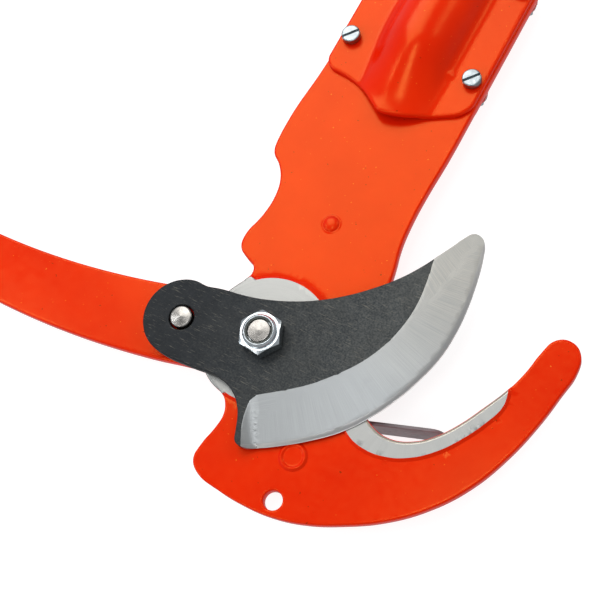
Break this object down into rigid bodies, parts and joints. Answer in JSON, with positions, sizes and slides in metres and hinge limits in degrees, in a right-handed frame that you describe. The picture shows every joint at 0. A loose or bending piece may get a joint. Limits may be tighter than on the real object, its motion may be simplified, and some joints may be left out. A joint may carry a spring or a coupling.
{
  "type": "pole pruner head",
  "caption": "Head of a rope-operated pole pruner: hook plate, swinging bypass blade, long lever with a rope pulley, and a clamped sheet socket for the pole.",
  "frame": {"origin": "on the pivot axis, at the bolt head's back face, which lies on the surface that the tool rests on", "axes": "+Z along the pivot axis, from the tool's back to its front; +Y along the pole's axis, out of the socket; +X towards the hook's tip"},
  "size_m": [0.3348, 0.27, 0.0356],
  "materials": {
    "orange_paint": "glossy orange powder coat",
    "dark_blade_steel": "dark heat-treated steel with a bright ground bevel",
    "zinc": "bright zinc plating",
    "bright_steel": "turned steel",
    "black_coating": "satin black coating",
    "lock_ring": "grey-green nylon",
    "bronze": "sintered bronze",
    "black_nylon": "moulded black nylon"
  },
  "bodies": {
    "head": {"hook_plate": "orange_paint", "front_socket_shell": "orange_paint", "rear_socket_shell": "orange_paint", "socket_screw_1": "zinc", "socket_screw_2": "zinc", "socket_screw_3": "zinc", "socket_screw_4": "zinc", "socket_nut_1": "zinc", "socket_nut_2": "zinc", "socket_nut_3": "zinc", "socket_nut_4": "zinc", "pivot_bush": "bronze", "spring_bracket": "black_coating", "bracket_rivet": "orange_paint", "rope_lug": "zinc", "lug_rivet": "orange_paint", "stop_stud": "bright_steel", "return_spring": "bright_steel"},
    "lever": {"blade": "dark_blade_steel", "lever_arm": "orange_paint", "pivot_bolt": "bright_steel", "pivot_nut": "zinc", "nut_insert": "lock_ring", "bolt_washer": "zinc", "drive_pin": "bright_steel", "spring_post": "bright_steel", "pulley_cheek": "zinc", "pulley_axle": "zinc", "axle_nut": "zinc", "cheek_spacer": "bright_steel", "cheek_rivet": "bright_steel", "sheave_bush": "bronze", "sheave_washer_front": "zinc", "sheave_washer_rear": "zinc"},
    "sheave": {"pulley_sheave": "black_nylon"}
  },
  "joints": [
    {"name": "blade_swing", "type": "hinge", "parent": "head", "child": "lever", "pos_m": [0, 0, 0.0203], "axis": [0, 0, 1], "range_deg": [-52, 0], "stiffness_Nm_per_rad": 0.3, "springref_deg": 57.3, "deforming": ["return_spring"]},
    {"name": "sheave_spin", "type": "hinge", "parent": "lever", "child": "sheave", "pos_m": [-0.198, -0.01703, 0.0211], "axis": [0, 0, 1], "continuous": true}
  ]
}
